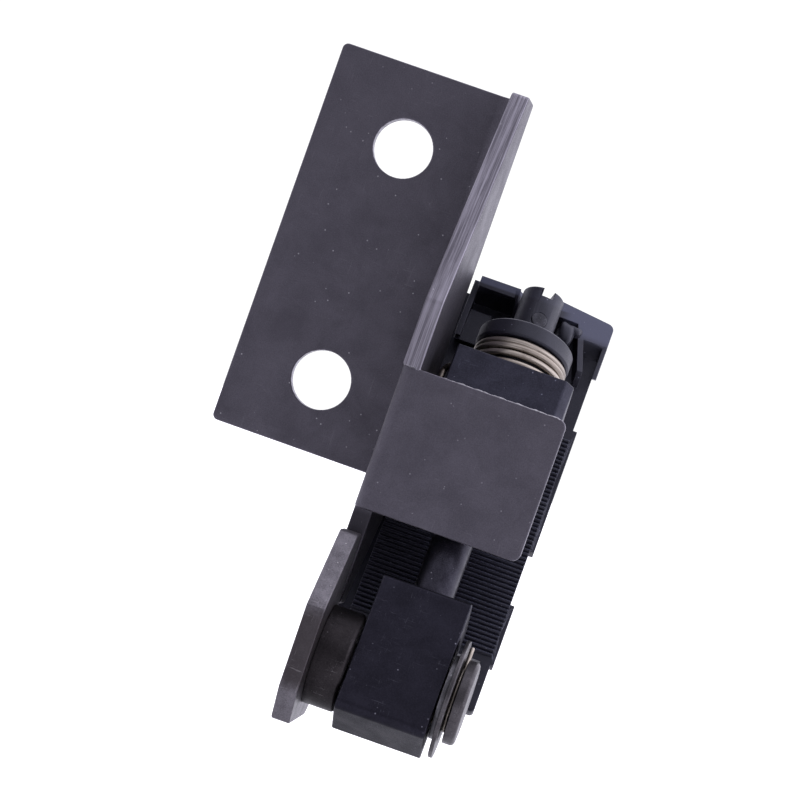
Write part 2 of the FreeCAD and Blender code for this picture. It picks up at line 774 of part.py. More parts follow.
# ---------------------------------------------------------------- lever and what is on its pin
def make_lever():
    """Cranked plate with three straight front edges, its flat middle edge upright in the row."""
    outline = [
        (lever_tip_rear, lever_up, lever_tip_round),
        (-lever_tip_front, lever_up, lever_brow_round),
        (-lever_front, lever_flat_up, 0),
        (-lever_front, -lever_flat_down, 0),
        (-lever_front + lever_foot_back, -lever_down, lever_tip_round),
        (lever_back, -lever_down, lever_heel_round),
        (lever_back, 0, lever_shoulder_round),
        (lever_waist_back, lever_waist_up, lever_waist_round),
    ]
    lever = slab_x(outline, lever_left, boss_left)
    lever = lever.cut(rod_x(pin_radius, lever_left - past, boss_left + past, 0, 0))
    lever.rotate(Vector(0, 0, 0), Vector(1, 0, 0), lean)
    lever.translate(Vector(0, 0, -pin_level))
    return leaned_and_turned(lever)


def ring_on_pin(left, thickness, diameter, bore_radius):
    ring = rod_x(diameter / 2, left, left + thickness, 0, -pin_level)
    bore = rod_x(bore_radius, left - past, left + thickness + past, 0, -pin_level)
    return ring.cut(bore)


def make_boss():
    boss = ring_on_pin(boss_left, boss_length, boss_diameter, pin_radius)
    boss = chamfer_at(boss, boss_edge, lambda p: near(p.x, boss_right) and abs(p.z + pin_level) > pin_bore)
    return leaned_and_turned(boss)


def make_side_washer():
    ring = ring_on_pin(washer_left, side_washer_thickness, side_washer_diameter, pin_radius)
    return leaned_and_turned(ring)


def make_wide_washer():
    ring = ring_on_pin(wide_left, wide_washer_thickness, wide_washer_diameter, pin_radius)
    return leaned_and_turned(ring)


def make_lever_pin():
    pin = rod_x(pin_radius, lever_left, head_left, 0, -pin_level)
    head = rod_x(pin_head_diameter / 2, head_left, pin_right, 0, -pin_level)
    head = fillet_at(head, pin_head_round, lambda p: near(p.x, pin_right))
    return leaned_and_turned(pin.fuse(head).removeSplitter())


def make_pin_clip():
    """Wire ring between the wide washer and the pin's head, with its tail standing up."""
    middle = clip_left + clip_wire / 2
    centre = Vector(middle, 0, -pin_level)
    ring = Part.makeTorus(clip_ring_radius, clip_wire / 2, centre, Vector(1, 0, 0))
    root = Vector(middle, 0, clip_ring_radius - pin_level)
    tail = Part.makeCylinder(clip_wire / 2, clip_tail - clip_ring_radius, root, Vector(0, 0, 1))
    return leaned_and_turned(ring.fuse(tail))


# ---------------------------------------------------------------- write every node
nodes = {
    "mounting_bracket": make_bracket,
    "hinge_block": make_block,
    "block_rivets": make_rivets,
    "block_spacers": make_spacers,
    "upper_bush": lambda: make_bush(block_above, 1),
    "lower_bush": lambda: make_bush(-block_below, -1),
    "ribbed_guard": make_guard,
    "guard_screws": make_guard_screws,
    "torsion_spring": make_spring,
    "spindle": make_spindle,
    "spring_spool": make_spool,
    "spool_cross_pin": make_cross_pin,
    "spindle_washer": make_spindle_washer,
    "spindle_clip": make_spindle_clip,
    "knuckle": make_knuckle,
    "knuckle_set_screw": make_grub_screw,
    "pin_bushes": make_pin_bushes,
    "swing_lever": make_lever,
    "lever_boss": make_boss,
    "lever_pin": make_lever_pin,
    "side_washer": make_side_washer,
    "wide_washer": make_wide_washer,
    "pin_clip": make_pin_clip,
}

os.makedirs("parts", exist_ok=True)
for name, make in nodes.items():
    shape = make()
    if not shape.isValid():
        print("not valid:", name)
    shape.exportStep(os.path.join("parts", name + ".step"))
    print(f"{name}: {len(shape.Solids)} solid(s), {shape.Volume:.1f} mm3")
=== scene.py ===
import bpy
import bmesh
import json
import math
import numpy as np
from mathutils import Matrix, Vector
from mathutils.bvhtree import BVHTree


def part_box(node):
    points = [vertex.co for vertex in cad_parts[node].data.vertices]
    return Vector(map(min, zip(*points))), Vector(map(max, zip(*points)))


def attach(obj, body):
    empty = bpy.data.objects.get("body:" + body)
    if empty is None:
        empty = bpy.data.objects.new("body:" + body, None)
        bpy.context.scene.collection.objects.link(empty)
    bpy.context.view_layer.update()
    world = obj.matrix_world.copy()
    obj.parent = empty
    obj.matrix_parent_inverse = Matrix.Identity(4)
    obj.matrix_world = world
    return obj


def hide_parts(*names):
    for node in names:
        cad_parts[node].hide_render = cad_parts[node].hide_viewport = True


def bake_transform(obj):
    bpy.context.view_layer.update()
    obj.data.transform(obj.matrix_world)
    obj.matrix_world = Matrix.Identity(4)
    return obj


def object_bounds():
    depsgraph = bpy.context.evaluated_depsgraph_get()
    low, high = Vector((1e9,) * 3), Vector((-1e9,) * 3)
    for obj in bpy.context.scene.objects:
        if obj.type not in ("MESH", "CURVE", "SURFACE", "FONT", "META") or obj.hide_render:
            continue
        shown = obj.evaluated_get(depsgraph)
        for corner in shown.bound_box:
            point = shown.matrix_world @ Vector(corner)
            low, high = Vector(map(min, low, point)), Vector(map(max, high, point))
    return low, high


# Spring door closer on a bent steel mounting bracket: how each piece looks, in the order it is put together.
# Metres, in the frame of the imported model: +Z up, the wall face of the bracket at Y = 0, everything else in
# front of it on the -Y side.
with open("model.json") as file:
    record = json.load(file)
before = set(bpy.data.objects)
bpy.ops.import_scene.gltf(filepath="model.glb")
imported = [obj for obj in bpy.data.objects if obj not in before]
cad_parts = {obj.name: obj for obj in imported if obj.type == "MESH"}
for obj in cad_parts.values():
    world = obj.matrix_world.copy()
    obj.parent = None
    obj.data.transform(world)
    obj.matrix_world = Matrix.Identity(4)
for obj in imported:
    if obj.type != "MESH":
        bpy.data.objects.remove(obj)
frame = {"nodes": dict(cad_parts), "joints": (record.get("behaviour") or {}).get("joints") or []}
frame_low, frame_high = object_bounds()
mm = 0.001

# ---------------------------------------------------------------- camera
# The closer is seen square on to its plate from 0.44 m, from a little to the right, held so that its
# long side leans to the right.
plate_low, plate_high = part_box("mounting_bracket")
spindle_joint, lever_joint = frame["joints"]
crossing = np.array(spindle_joint["pos_m"])          # where the spindle's axis crosses the block
sheet = 2.7 * mm
plate_front = plate_high.y - sheet
aim = Vector((crossing[0] - 15.2 * mm, plate_front, crossing[2]))
camera_far = 440 * mm
camera_turn = math.radians(4.0)
camera_roll = math.radians(19.5)
across = Vector((math.cos(camera_turn), math.sin(camera_turn), 0))
upward = Vector((0, 0, 1))
camera_x = across * math.cos(camera_roll) + upward * math.sin(camera_roll)
camera_y = upward * math.cos(camera_roll) - across * math.sin(camera_roll)
camera_z = camera_x.cross(camera_y)


def put(name, data):
    """A new object in the scene."""
    thing = bpy.data.objects.new(name, data)
    bpy.context.scene.collection.objects.link(thing)
    return thing


camera = put("camera", bpy.data.cameras.new("camera"))
camera.matrix_world = Matrix((camera_x, camera_y, camera_z)).transposed().to_4x4()
camera.location = aim + camera_z * camera_far
camera.data.sensor_width = 36
camera.data.lens = 132.3
camera.data.clip_start = 0.01
camera.data.clip_end = 20
bpy.context.scene.camera = camera

# ---------------------------------------------------------------- floor and light
# A plain pale floor just under the closer and a soft white tent all round it, darker on the side
# where the camera stands and brightest from the right.
bpy.context.scene.view_settings.view_transform = "Standard"
floor_drop = 7 * mm
floor_half = 3.0
floor_z = frame_low.z - floor_drop
floor_mesh = bpy.data.meshes.new("floor")
floor_corners = [(-floor_half, -floor_half, floor_z), (floor_half, -floor_half, floor_z),
                 (floor_half, floor_half, floor_z), (-floor_half, floor_half, floor_z)]
floor_mesh.from_pydata(floor_corners, [], [(0, 1, 2, 3)])
floor = put("floor", floor_mesh)


def add(tree, kind, values=None, **settings):
    """A node of that kind; values are its inputs by name or number, each a constant or a node's socket."""
    node = tree.nodes.new(kind)
    for key, value in settings.items():
        setattr(node, key, value)
    for key, value in (values or {}).items():
        if isinstance(value, bpy.types.NodeSocket):
            tree.links.new(value, node.inputs[key])
        else:
            node.inputs[key].default_value = value
    return node


def maths(tree, operation, *values, clamp=False):
    """One sum on one to three numbers or sockets; the answer's socket."""
    node = add(tree, "ShaderNodeMath", dict(enumerate(values)), operation=operation, use_clamp=clamp)
    return node.outputs[0]


def new_material(name):
    """A material with a Principled shader joined to its output: the material, its tree and the shader."""
    material = bpy.data.materials.new(name)
    material.use_nodes = True
    tree = material.node_tree
    return material, tree, tree.nodes["Principled BSDF"]


floor_material, tree, shader = new_material("pale_floor")
floor_glow, floor_dim = 0.57, 0.02                      # its own light to the camera, and to the closer
floor_grain = add(tree, "ShaderNodeTexNoise", {"Scale": 60.0, "Detail": 4.0})
floor_tone = add(tree, "ShaderNodeMapRange", {"Value": floor_grain.outputs["Fac"], 3: 0.86, 4: 0.92})
tree.links.new(add(tree, "ShaderNodeCombineColor", {i: floor_tone.outputs[0] for i in range(3)}).outputs[0],
               shader.inputs["Base Color"])
shader.inputs["Roughness"].default_value = 0.9
shader.inputs["Emission Color"].default_value = (1, 1, 1, 1)
seen = add(tree, "ShaderNodeLightPath").outputs["Is Camera Ray"]
tree.links.new(maths(tree, "MULTIPLY_ADD", seen, floor_glow - floor_dim, floor_dim),
               shader.inputs["Emission Strength"])
floor_mesh.materials.append(floor_material)

front_shade = -0.85                                     # what the tent's glow gains towards each side
right_gain = 1.2
top_gain = 0.45
world = bpy.data.worlds.new("tent")
bpy.context.scene.world = world
world.use_nodes = True
tree = world.node_tree
tree.nodes.clear()
towards = add(tree, "ShaderNodeSeparateXYZ", {0: add(tree, "ShaderNodeTexCoord").outputs["Generated"]})
front = maths(tree, "MAXIMUM", maths(tree, "MULTIPLY", towards.outputs["Y"], -1.0), 0.0)
front = maths(tree, "POWER", front, 1.5)
right = maths(tree, "MAXIMUM", towards.outputs["X"], 0.0)
above = maths(tree, "MAXIMUM", towards.outputs["Z"], 0.0)
glow = maths(tree, "MULTIPLY_ADD", front, front_shade, 1.0)
glow = maths(tree, "MULTIPLY_ADD", right, right_gain, glow)
glow = maths(tree, "MULTIPLY_ADD", above, top_gain, glow)
tent = add(tree, "ShaderNodeBackground", {"Color": (0.96, 0.945, 1.06, 1), "Strength": glow})
backdrop = add(tree, "ShaderNodeBackground", {"Color": (1, 1, 1, 1), "Strength": 1.1})
seen = add(tree, "ShaderNodeLightPath").outputs["Is Camera Ray"]
both = add(tree, "ShaderNodeMixShader", {0: seen, 1: tent.outputs[0], 2: backdrop.outputs[0]})
add(tree, "ShaderNodeOutputWorld", {0: both.outputs[0]})

# ---------------------------------------------------------------- mounting bracket
# One blank of 2.7 mm steel, sheared, punched and bent twice: plate, flange with its hanging ear, and tab.
# Dark phosphate all over, thin and scraped on the sheared edges, whose burr stands bright along the tab.
def effect_group(name, takes, gives):
    """A shader node group with those inputs (label: value) and outputs (labels): the group and the sockets
    that it takes and gives."""
    group = bpy.data.node_groups.new(name, "ShaderNodeTree")
    for label, value in takes.items():
        group.interface.new_socket(label, in_out="INPUT", socket_type="NodeSocketFloat").default_value = value
    for label in gives:
        group.interface.new_socket(label, in_out="OUTPUT", socket_type="NodeSocketFloat")
    return group, group.nodes.new("NodeGroupInput").outputs, group.nodes.new("NodeGroupOutput").inputs


def scaled_place(tree, scale, stretch=(1.0, 1.0, 1.0)):
    """Object coordinates times a scale per metre, and stretched along the row's axes."""
    place = add(tree, "ShaderNodeTexCoord").outputs["Object"]
    place = add(tree, "ShaderNodeVectorMath", {0: place, 1: stretch}, operation="MULTIPLY").outputs[0]
    return add(tree, "ShaderNodeVectorMath", {0: place, "Scale": scale}, operation="SCALE").outputs[0]


def between(tree, value, low, high, to_low=0.0, to_high=1.0):
    """The value mapped smoothly from low..high to to_low..to_high."""
    node = add(tree, "ShaderNodeMapRange", {0: value, 1: low, 2: high, 3: to_low, 4: to_high},
               interpolation_type="SMOOTHSTEP")
    return node.outputs[0]


def noise(tree, place, detail, roughness=0.5, distortion=0.0, scale=1.0):
    """Noise at that place: a value round 0.5."""
    values = {"Vector": place, "Scale": scale, "Detail": detail, "Roughness": roughness,
              "Distortion": distortion}
    return add(tree, "ShaderNodeTexNoise", values).outputs["Fac"]


def dot(tree, place, row):
    """The place's dot product with a row of three numbers, or with another vector's socket."""
    return add(tree, "ShaderNodeVectorMath", {0: place, 1: row}, operation="DOT_PRODUCT").outputs["Value"]


def object_place(tree):
    """The sockets X, Y and Z of the Object coordinates."""
    place = add(tree, "ShaderNodeTexCoord").outputs["Object"]
    return add(tree, "ShaderNodeSeparateXYZ", {0: place}).outputs


# Mottling and grain: broad clouds and fine grit, as a tone round 0.5, and the grit as a height.
mottle, takes, gives = effect_group("mottle", {"Clouds": 180.0, "Grit": 5200.0, "Grit share": 0.5},
                                    ["Tone", "Height"])
clouds = noise(mottle, scaled_place(mottle, takes["Clouds"]), 5.0, 0.62, 0.4)
grit = noise(mottle, scaled_place(mottle, takes["Grit"]), 3.0, 0.7)
share = maths(mottle, "MULTIPLY", maths(mottle, "SUBTRACT", grit, clouds), takes["Grit share"])
mottle.links.new(between(mottle, maths(mottle, "ADD", clouds, share), 0.3, 0.7), gives["Tone"])
mottle.links.new(grit, gives["Height"])

# Specks of dust and bare crystal: round cells of which only a share are lit, each with its own strength.
specks, takes, gives = effect_group("specks", {"Scale": 1500.0, "Share": 0.06}, ["Mask"])
cells = add(specks, "ShaderNodeTexVoronoi", {"Vector": scaled_place(specks, takes["Scale"]), "Scale": 1.0})
lot = add(specks, "ShaderNodeSeparateColor", {0: cells.outputs["Color"]})
lit = maths(specks, "LESS_THAN", lot.outputs[0], takes["Share"])
spot = between(specks, cells.outputs["Distance"], 0.36, 0.12)
strong = maths(specks, "POWER", lot.outputs[1], 2.5)
specks.links.new(maths(specks, "MULTIPLY", maths(specks, "MULTIPLY", lit, spot), strong), gives["Mask"])

# Rubbed edges: where the surface turns within a short reach, broken up by noise.
rubbed, takes, gives = effect_group("rubbed_edges", {"Reach": 0.00018, "Breaks": 900.0, "Strength": 1.0},
                                    ["Mask"])
rounded = add(rubbed, "ShaderNodeBevel", {"Radius": takes["Reach"]}, samples=4).outputs[0]
facing = add(rubbed, "ShaderNodeNewGeometry").outputs["Normal"]
turned = dot(rubbed, rounded, facing)
breaks = noise(rubbed, scaled_place(rubbed, takes["Breaks"]), 4.0, 0.65)
edge = between(rubbed, maths(rubbed, "SUBTRACT", 1.0, turned), 0.015, 0.12)
edge = maths(rubbed, "MULTIPLY", edge, between(rubbed, breaks, 0.34, 0.58, 0.15, 1.0))
rubbed.links.new(maths(rubbed, "MULTIPLY", edge, takes["Strength"], clamp=True), gives["Mask"])

# Scratches: thin broken lines in two directions, from noise drawn out along each.
scratches, takes, gives = effect_group("scratches", {"Scale": 260.0, "Share": 0.3}, ["Mask"])
lines = []
for stretch in ((1.0, 9.0, 14.0), (15.0, 6.0, 0.8)):
    drawn = noise(scratches, scaled_place(scratches, takes["Scale"], stretch), 4.0, 0.72, 0.7)
    lines.append(between(scratches, drawn, 0.61, 0.68))
patch = noise(scratches, scaled_place(scratches, takes["Scale"]), 2.0, scale=0.7)
patch = between(scratches, patch, 0.45, 0.62)
worn = maths(scratches, "MULTIPLY", maths(scratches, "MAXIMUM", *lines), patch)
scratches.links.new(maths(scratches, "MULTIPLY", worn, takes["Share"]), gives["Mask"])


def use(tree, group, **values):
    """A group in a material's tree, with its own values; underscores stand for spaces."""
    node = add(tree, "ShaderNodeGroup", node_tree=group)
    for label, value in values.items():
        node.inputs[label.replace("_", " ")].default_value = value
    return node.outputs


def blend_colour(tree, mask, first, second):
    """First colour where the mask is 0, second where it is 1."""
    node = add(tree, "ShaderNodeMix", {0: mask}, data_type="RGBA")
    for i, colour in ((6, first), (7, second)):
        if isinstance(colour, bpy.types.NodeSocket):
            tree.links.new(colour, node.inputs[i])
        else:
            node.inputs[i].default_value = (*colour, 1)
    return node.outputs[2]


def steel_finish(name, dark, light, bare, roughness, metallic=0.85, clouds=180.0, grit=5200.0, grit_share=0.5,
                 speck_share=0.02, speck_scale=2600.0, edge_reach=0.00018, edge_strength=0.8,
                 scratch_share=0.3, scratch_scale=260.0, extra=None):
    """Steel under a thin coating: its tone wanders from dark to light, and edges, scratches and specks show
    bare metal.  extra(tree, colour, rough) may lay more on top; it gives back a colour, a roughness and a
    height."""
    material, tree, shader = new_material(name)
    tone, grain_height = use(tree, mottle, Clouds=clouds, Grit=grit, Grit_share=grit_share)
    colour = blend_colour(tree, tone, dark, light)
    speck = use(tree, specks, Scale=speck_scale, Share=speck_share)[0]
    scratch = use(tree, scratches, Scale=scratch_scale, Share=scratch_share)[0]
    edge = use(tree, rubbed, Reach=edge_reach, Strength=edge_strength)[0]
    rough = between(tree, tone, 0.0, 1.0, roughness + 0.07, roughness - 0.07)
    height = grain_height
    if extra:
        colour, rough, more = extra(tree, colour, rough)
        height = maths(tree, "ADD", height, more)
    worn = maths(tree, "MAXIMUM", maths(tree, "MAXIMUM", speck, scratch), edge)
    colour = blend_colour(tree, worn, colour, bare)
    rough = maths(tree, "MULTIPLY_ADD", worn, -0.12, rough)
    relief = add(tree, "ShaderNodeBump", {"Height": height, "Strength": 0.6, "Distance": 0.02 * mm})
    tree.links.new(colour, shader.inputs["Base Color"])
    tree.links.new(rough, shader.inputs["Roughness"])
    tree.links.new(relief.outputs[0], shader.inputs["Normal"])
    shader.inputs["Metallic"].default_value = metallic
    return material


def shade_smooth(mesh):
    """Smooth shading over the whole mesh."""
    mesh.polygons.foreach_set("use_smooth", np.ones(len(mesh.polygons), bool))


def merged_mesh(node, name):
    """The node's triangles as one clean mesh: doubles merged, flat neighbours joined, and faces of more than
    four corners cut again into even triangles."""
    source = frame["nodes"][node].data
    source.calc_loop_triangles()
    places = np.empty(len(source.vertices) * 3)
    source.vertices.foreach_get("co", places)
    corners = np.empty(len(source.loop_triangles) * 3, np.int32)
    source.loop_triangles.foreach_get("vertices", corners)
    mesh = bpy.data.meshes.new(name)
    mesh.from_pydata(places.reshape(-1, 3).tolist(), [], corners.reshape(-1, 3).tolist())
    form = bmesh.new()
    form.from_mesh(mesh)
    bmesh.ops.remove_doubles(form, verts=form.verts, dist=2e-6)
    bmesh.ops.dissolve_degenerate(form, edges=form.edges, dist=1e-6)
    bmesh.ops.dissolve_limit(form, angle_limit=math.radians(0.3), verts=form.verts, edges=form.edges)
    many_sided = [face for face in form.faces if len(face.verts) > 4]
    bmesh.ops.triangulate(form, faces=many_sided, ngon_method="BEAUTY")
    form.to_mesh(mesh)
    form.free()
    shade_smooth(mesh)
    return mesh


sharp_angle = math.radians(32)                          # an edge that turns less than this stays as it is


def softened(node, name, body, material, width, steps=2, mesh=None, stays_sharp=None):
    """A piece in the place of a node, of the same shape but with its sharp edges broken by that width.  A
    point that the bevel throws further off than the width goes back to the nearest place on the unbroken
    surface.  An edge isn't broken where stays_sharp(its middle) is true."""
    mesh = mesh or merged_mesh(node, name)
    form = bmesh.new()
    form.from_mesh(mesh)
    weight = form.edges.layers.float.new("bevel_weight_edge")
    for edge in form.edges:
        is_sharp = edge.calc_face_angle(0) > sharp_angle
        spared = stays_sharp is not None and stays_sharp((edge.verts[0].co + edge.verts[1].co) / 2)
        edge[weight] = float(is_sharp and not spared)
    form.to_mesh(mesh)
    form.free()
    mesh.materials.append(material)
    piece = put(name, mesh)
    edges = piece.modifiers.new("broken_edges", "BEVEL")
    edges.width = width
    edges.segments = steps
    edges.limit_method = "WEIGHT"
    edges.use_clamp_overlap = False
    edges.loop_slide = False
    shading = piece.modifiers.new("flat_faces_shade_flat", "WEIGHTED_NORMAL")
    shading.mode = "FACE_AREA"
    shading.weight = 100
    bpy.context.view_layer.update()
    broken = bpy.data.meshes.new_from_object(piece.evaluated_get(bpy.context.evaluated_depsgraph_get()))
    surface = BVHTree.FromPolygons([point.co for point in mesh.vertices],
                                   [face.vertices[:] for face in mesh.polygons])
    furthest = 0.6 * width
    for point in broken.vertices:
        place, _, _, off = surface.find_nearest(point.co)
        if off > furthest:
            point.co = place
    piece.modifiers.clear()
    piece.data = broken
    broken.name = name + "_broken"
    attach(piece, body)
    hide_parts(node)


bend_inner = 2.6 * mm                                   # inside of the bend between plate and flange
bend_left, bend_ahead = 8.0 * mm, 6.0 * mm              # the bend lies right of this, and this far forward
flange_root = 16.8 * mm                                 # outer face of the flange, carried back to Y = 0
flange_slope = math.tan(math.radians(3.45))             # how fast it leans to the right, going back
tab_top, tab_height = -12.3 * mm, 21.2 * mm
edge_on = 0.35                                          # an edge's normal has less across the sheet
close = 0.1 * mm
bracket_mesh = merged_mesh("mounting_bracket", "formed_bracket")
count = len(bracket_mesh.polygons)
centres, normals = np.empty(count * 3), np.empty(count * 3)
bracket_mesh.polygons.foreach_get("center", centres)
bracket_mesh.polygons.foreach_get("normal", normals)
centres, normals = centres.reshape(-1, 3), normals.reshape(-1, 3)
tab_face = plate_low.y                                  # front of the tab
flange_outer = flange_root + centres[:, 1] * flange_slope
in_flange = (centres[:, 1] < plate_front - bend_inner) & (centres[:, 0] < flange_outer + close)
across_sheet = np.where(in_flange, np.abs(normals[:, 0]), np.abs(normals[:, 1]))
sheared = bracket_mesh.attributes.new("sheared", "FLOAT", "FACE")
level_normal = np.abs(normals[:, 2]) < 0.5
in_tab_bend = in_flange & (centres[:, 2] < tab_top) & (centres[:, 2] > tab_top - tab_height) & level_normal
in_ear = in_flange & (centres[:, 2] < tab_top - tab_height)
near_bend = (centres[:, 0] > bend_left) & (centres[:, 1] > plate_front - bend_ahead)
in_plate_bend = ~in_flange & near_bend & level_normal
is_sheared = (across_sheet < edge_on) & ~in_tab_bend & ~in_ear & ~in_plate_bend
sheared.data.foreach_set("value", is_sheared.astype(np.float32))


def sheared_edges(tree, colour, rough):
    """Lays the scraped look of a sheared edge over the faces marked so, as fine lines along it, and the dark
    oil over the hanging ear."""
    mark = add(tree, "ShaderNodeAttribute", attribute_name="sheared").outputs["Fac"]
    place = add(tree, "ShaderNodeTexCoord").outputs["Object"]
    through_sheet = dot(tree, place, (2600.0, -2600.0 * flange_slope, 0))
    along_edge = dot(tree, place, (0, 20.0, 45.0))
    drawn = add(tree, "ShaderNodeCombineXYZ", {0: through_sheet, 1: along_edge}).outputs[0]
    lines = noise(tree, drawn, 5.0, 0.7)
    tone = between(tree, lines, 0.38, 0.62)
    edge_colour = blend_colour(tree, tone, (0.110, 0.103, 0.123), (0.30, 0.285, 0.33))
    ear_top = tab_top - tab_height
    oil = between(tree, object_place(tree)["Z"], ear_top + 0.5 * mm, ear_top - 1.0 * mm, 0.0, 0.8)
    colour = blend_colour(tree, oil, colour, (0.022, 0.020, 0.025))
    colour = blend_colour(tree, maths(tree, "MULTIPLY", mark, 0.9), colour, edge_colour)
    rough = maths(tree, "MULTIPLY_ADD", mark, -0.06, rough)
    return colour, rough, maths(tree, "MULTIPLY", maths(tree, "MULTIPLY", lines, mark), 2.5)


phosphate = steel_finish("dark_phosphate", dark=(0.062, 0.058, 0.071), light=(0.096, 0.090, 0.109),
                         bare=(0.42, 0.41, 0.44), roughness=0.46, speck_share=0.018, speck_scale=2300.0,
                         edge_strength=0.6, scratch_share=0.07, extra=sheared_edges)
softened("mounting_bracket", "formed_bracket", "bracket", phosphate, 0.22 * mm,
         mesh=bracket_mesh)


def ring_faces(rings, sides):
    """Four-cornered faces between one closed ring of points and the next."""
    row, column = np.meshgrid(np.arange(rings - 1), np.arange(sides), indexing="ij")
    here, beside = row * sides + column, row * sides + (column + 1) % sides
    return np.stack([here, beside, beside + sides, here + sides], axis=2).reshape(-1, 4)


def tube(line, outward, widths, sides, name):
    """Closed tube along a line: each ring's point is the line's point plus that ring's radius times the
    cosine and sine of its angle along two directions square to the line, the first of them nearest to
    outward.  Its UV map along_tube holds the length along the line and the share of the way round."""
    along = np.gradient(line, axis=0)
    along /= np.linalg.norm(along, axis=1)[:, None]
    outward = outward - along * np.sum(outward * along, axis=1)[:, None]
    outward /= np.linalg.norm(outward, axis=1)[:, None]
    sideways = np.cross(along, outward)
    angle = np.linspace(0, 2 * math.pi, sides, endpoint=False)
    ring = outward[:, None] * np.cos(angle)[None, :, None] + sideways[:, None] * np.sin(angle)[None, :, None]
    points = (line[:, None] + ring * widths[:, None, None]).reshape(-1, 3)
    tips = [list(range(sides))[::-1], list(range(len(points) - sides, len(points)))]
    mesh = bpy.data.meshes.new(name)
    mesh.from_pydata(points.tolist(), [], ring_faces(len(line), sides).tolist() + tips)
    shade_smooth(mesh)
    length = np.concatenate([[0], np.cumsum(np.linalg.norm(np.diff(line, axis=0), axis=1))])
    corners = np.empty(len(mesh.loops), np.int32)
    mesh.loops.foreach_get("vertex_index", corners)
    way_round = (corners % sides) / sides
    closing = np.zeros((len(line) - 1, sides, 4), bool)
    closing[:, -1, 1:3] = True                          # the last face of a ring ends at 1, not back at 0
    way_round[:closing.size][closing.ravel()] = 1.0
    layer = mesh.uv_layers.new(name="along_tube")
    layer.data.foreach_set("uv", np.stack([length[corners // sides], way_round], axis=1).ravel())
    return mesh


def burr(points, outward, thickness, waves, name, body):
    """Thin torn lip that the shear left along an edge, in straight stretches from point to point.  Its
    radius is the thickness times a sum of sines along it, and it grows thin towards both ends."""
    points, outward = np.array(points), np.array(outward)
    rings, sides = 160, 6
    reach = np.concatenate([[0], np.cumsum(np.linalg.norm(np.diff(points, axis=0), axis=1))])
    along = np.linspace(0, reach[-1], rings)
    line = np.stack([np.interp(along, reach, points[:, i]) for i in range(3)], axis=1)
    share = along / reach[-1]
    ripple = sum(np.sin(2 * math.pi * waves * k * share + k * k) / k for k in (1.0, 2.3, 4.1))
    widths = thickness * (0.75 + 0.22 * ripple) * np.minimum(1, 12 * np.minimum(share, 1 - share) + 0.05)
    line = line + outward * (0.25 * thickness * ripple)[:, None]
    mesh = tube(line, outward * np.ones((rings, 1)), widths, sides, name)
    mesh.materials.append(torn_steel)
    piece = put(name, mesh)
    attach(piece, body)


torn_steel = steel_finish("torn_steel", dark=(0.18, 0.175, 0.19), light=(0.48, 0.47, 0.50),
                          bare=(0.75, 0.74, 0.76), roughness=0.38, metallic=0.95, clouds=900.0,
                          speck_share=0.2, speck_scale=3000.0, edge_strength=0.3)
tab_left, tab_right = 18.4 * mm, plate_high.x
burr([(tab_left, tab_face + 0.25 * mm, tab_top), (tab_right - 1.6 * mm, tab_face + 0.12 * mm, tab_top),
      (tab_right - 0.55 * mm, tab_face + 0.12 * mm, tab_top - 0.4 * mm),
      (tab_right - 0.15 * mm, tab_face + 0.12 * mm, tab_top - 1.6 * mm)],
     (0, -0.4, 0.9), 0.11 * mm, 7, "tab_burr", "bracket")

# ---------------------------------------------------------------- hinge block
# Square black steel block behind the tab that carries the spindle; its front right corner is planed off.
# Two rivets through two short spacers hold it to the flange.
black_oxide = steel_finish("black_oxide", dark=(0.018, 0.018, 0.027), light=(0.036, 0.036, 0.052),
                           bare=(0.20, 0.21, 0.27), roughness=0.42, clouds=260.0, edge_strength=0.5,
                           scratch_share=0.12)
softened("hinge_block", "black_block", "bracket", black_oxide, 0.25 * mm)

dull_turned = steel_finish("dull_turned", dark=(0.045, 0.042, 0.046), light=(0.095, 0.089, 0.095),
                           bare=(0.40, 0.39, 0.40), roughness=0.38, metallic=0.95, clouds=420.0,
                           edge_strength=0.6, scratch_share=0.5, scratch_scale=700.0)
softened("block_rivets", "flange_rivets", "bracket", dull_turned, 0.12 * mm)
softened("block_spacers", "rivet_spacers", "bracket", dull_turned, 0.12 * mm)

# ---------------------------------------------------------------- bushes
# Sintered bronze sleeves, soaked with oil: one at each end of the block's bore, and two in the knuckle for
# the lever pin.
bronze = steel_finish("oily_bronze", dark=(0.20, 0.12, 0.05), light=(0.42, 0.28, 0.12),
                      bare=(0.62, 0.45, 0.22), roughness=0.38, metallic=1.0, clouds=500.0, grit=7000.0,
                      grit_share=0.8, speck_share=0.12, speck_scale=3200.0, edge_strength=0.5,
                      scratch_share=0.2)
for node, body in (("upper_bush", "bracket"), ("lower_bush", "bracket"), ("pin_bushes", "spindle")):
    softened(node, node + "_sleeve", body, bronze, 0.08 * mm)

# ---------------------------------------------------------------- ribbed guard
# Black nylon moulding screwed to the back of the block: a comb of small ribs, a tongue below it and a
# hooded head round the spool's neck.
wing_edge = crossing[0] + 3.0 * mm
wing_foot = crossing[2] + 18.0 * mm
hood_lip = crossing[2] + 20.8 * mm


